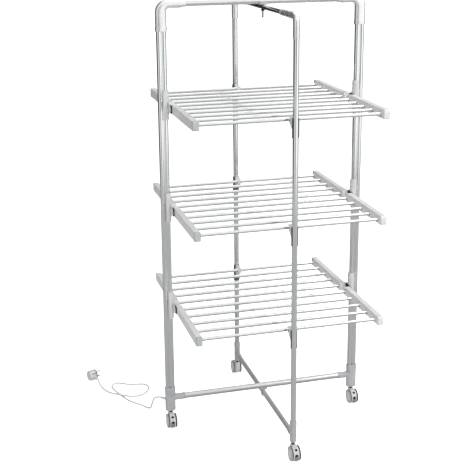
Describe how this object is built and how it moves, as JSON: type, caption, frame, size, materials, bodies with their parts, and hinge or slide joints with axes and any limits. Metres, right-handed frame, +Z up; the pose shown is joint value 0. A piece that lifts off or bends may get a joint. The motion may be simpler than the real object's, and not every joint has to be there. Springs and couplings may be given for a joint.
{
  "type": "heated clothes airer",
  "caption": "Free-standing folding tower airer on casters: a wide frame with hinged tiers of warm bars, crossed by a narrower swivelling frame, with a mains lead and plug.",
  "frame": {"origin": "on the floor, at the middle of the airer, under the pivots that join the two frames", "axes": "+Z up; +X along the wide frame, from the foot that the lead leaves to the other; -Y to the front"},
  "size_m": [0.9203, 0.8379, 1.4638],
  "materials": {
    "tube_grey": "satin silver-grey paint",
    "tube_bright": "smooth light silver paint",
    "moulding_white": "fine satin",
    "moulding_grey": "fine satin",
    "wing_white": "smooth off-white coat",
    "yoke_black": "matte",
    "wheel_grey": "matte",
    "lead_white": "soft satin"
  },
  "bodies": {
    "main_frame": {"leg_left": "tube_grey", "leg_right": "tube_grey", "top_rail": "tube_bright", "low_rail": "tube_grey", "corner_elbow_left": "moulding_white", "corner_elbow_right": "moulding_white", "foot_left": "moulding_grey", "foot_right": "moulding_grey", "top_pivot": "moulding_grey", "low_pivot": "moulding_grey", "tier1_bracket_left": "moulding_white", "tier1_bracket_right": "moulding_white", "tier2_bracket_left": "moulding_white", "tier2_bracket_right": "moulding_white", "tier3_bracket_left": "moulding_white", "tier3_bracket_right": "moulding_white", "tier1_hinge_yoke_left": "yoke_black", "tier1_hinge_yoke_right": "yoke_black", "tier2_hinge_yoke_left": "yoke_black", "tier2_hinge_yoke_right": "yoke_black", "tier3_hinge_yoke_left": "yoke_black", "tier3_hinge_yoke_right": "yoke_black", "cord_gland": "lead_white", "cord": "lead_white", "plug": "lead_white"},
    "cross_frame": {"leg_front": "tube_grey", "leg_rear": "tube_grey", "cross_top_rail": "tube_bright", "cross_low_rail": "tube_grey", "corner_elbow_front": "moulding_white", "corner_elbow_rear": "moulding_white", "foot_front": "moulding_grey", "foot_rear": "moulding_grey", "tier1_front_rest": "moulding_white", "tier1_rear_rest": "moulding_white", "tier2_front_rest": "moulding_white", "tier2_rear_rest": "moulding_white", "tier3_front_rest": "moulding_white", "tier3_rear_rest": "moulding_white"},
    "tier1_front_wing": {"tier1_front_rack": "wing_white", "tier1_front_channel": "wing_white"},
    "tier1_rear_wing": {"tier1_rear_rack": "wing_white", "tier1_rear_channel": "wing_white"},
    "tier2_front_wing": {"tier2_front_rack": "wing_white", "tier2_front_channel": "wing_white"},
    "tier2_rear_wing": {"tier2_rear_rack": "wing_white", "tier2_rear_channel": "wing_white"},
    "tier3_front_wing": {"tier3_front_rack": "wing_white", "tier3_front_channel": "wing_white"},
    "tier3_rear_wing": {"tier3_rear_rack": "wing_white", "tier3_rear_channel": "wing_white"},
    "caster_left_swivel": {"caster_left_hood": "moulding_grey"},
    "caster_left_wheel_pair": {"caster_left_wheels": "wheel_grey"},
    "caster_right_swivel": {"caster_right_hood": "moulding_grey"},
    "caster_right_wheel_pair": {"caster_right_wheels": "wheel_grey"},
    "caster_front_swivel": {"caster_front_hood": "moulding_grey"},
    "caster_front_wheel_pair": {"caster_front_wheels": "wheel_grey"},
    "caster_rear_swivel": {"caster_rear_hood": "moulding_grey"},
    "caster_rear_wheel_pair": {"caster_rear_wheels": "wheel_grey"}
  },
  "joints": [
    {"name": "cross_frame_swivel", "type": "hinge", "parent": "main_frame", "child": "cross_frame", "pos_m": [0, 0, 0.09], "axis": [0, 0, 1], "range_deg": [0, 78]},
    {"name": "tier1_front_fold", "type": "hinge", "parent": "main_frame", "child": "tier1_front_wing", "pos_m": [0, -0.026, 0.437], "axis": [-1, 0, 0], "range_deg": [0, 90]},
    {"name": "tier1_rear_fold", "type": "hinge", "parent": "main_frame", "child": "tier1_rear_wing", "pos_m": [0, 0.026, 0.437], "axis": [1, 0, 0], "range_deg": [0, 90]},
    {"name": "tier2_front_fold", "type": "hinge", "parent": "main_frame", "child": "tier2_front_wing", "pos_m": [0, -0.026, 0.778], "axis": [-1, 0, 0], "range_deg": [0, 90]},
    {"name": "tier2_rear_fold", "type": "hinge", "parent": "main_frame", "child": "tier2_rear_wing", "pos_m": [0, 0.026, 0.778], "axis": [1, 0, 0], "range_deg": [0, 90]},
    {"name": "tier3_front_fold", "type": "hinge", "parent": "main_frame", "child": "tier3_front_wing", "pos_m": [0, -0.026, 1.119], "axis": [-1, 0, 0], "range_deg": [0, 90]},
    {"name": "tier3_rear_fold", "type": "hinge", "parent": "main_frame", "child": "tier3_rear_wing", "pos_m": [0, 0.026, 1.119], "axis": [1, 0, 0], "range_deg": [0, 90]},
    {"name": "caster_left_swivel", "type": "hinge", "parent": "main_frame", "child": "caster_left_swivel", "pos_m": [-0.335, 0, 0.055], "axis": [0, 0, 1], "continuous": true},
    {"name": "caster_left_spin", "type": "hinge", "parent": "caster_left_swivel", "child": "caster_left_wheel_pair", "pos_m": [-0.335, -0.015, 0.02452], "axis": [1, 0, 0], "continuous": true},
    {"name": "caster_right_swivel", "type": "hinge", "parent": "main_frame", "child": "caster_right_swivel", "pos_m": [0.335, 0, 0.055], "axis": [0, 0, 1], "continuous": true},
    {"name": "caster_right_spin", "type": "hinge", "parent": "caster_right_swivel", "child": "caster_right_wheel_pair", "pos_m": [0.335, -0.015, 0.02452], "axis": [1, 0, 0], "continuous": true},
    {"name": "caster_front_swivel", "type": "hinge", "parent": "cross_frame", "child": "caster_front_swivel", "pos_m": [0, -0.335, 0.055], "axis": [0, 0, 1], "continuous": true},
    {"name": "caster_front_spin", "type": "hinge", "parent": "caster_front_swivel", "child": "caster_front_wheel_pair", "pos_m": [0, -0.35, 0.02452], "axis": [1, 0, 0], "continuous": true},
    {"name": "caster_rear_swivel", "type": "hinge", "parent": "cross_frame", "child": "caster_rear_swivel", "pos_m": [0, 0.335, 0.055], "axis": [0, 0, 1], "continuous": true},
    {"name": "caster_rear_spin", "type": "hinge", "parent": "caster_rear_swivel", "child": "caster_rear_wheel_pair", "pos_m": [0, 0.35, 0.02452], "axis": [1, 0, 0], "continuous": true}
  ],
  "couplings": [
    {"joint": "tier1_front_fold", "follows": "cross_frame_swivel", "ratio": 1.1538},
    {"joint": "tier1_rear_fold", "follows": "cross_frame_swivel", "ratio": 1.1538},
    {"joint": "tier2_front_fold", "follows": "cross_frame_swivel", "ratio": 1.1538},
    {"joint": "tier2_rear_fold", "follows": "cross_frame_swivel", "ratio": 1.1538},
    {"joint": "tier3_front_fold", "follows": "cross_frame_swivel", "ratio": 1.1538},
    {"joint": "tier3_rear_fold", "follows": "cross_frame_swivel", "ratio": 1.1538}
  ]
}
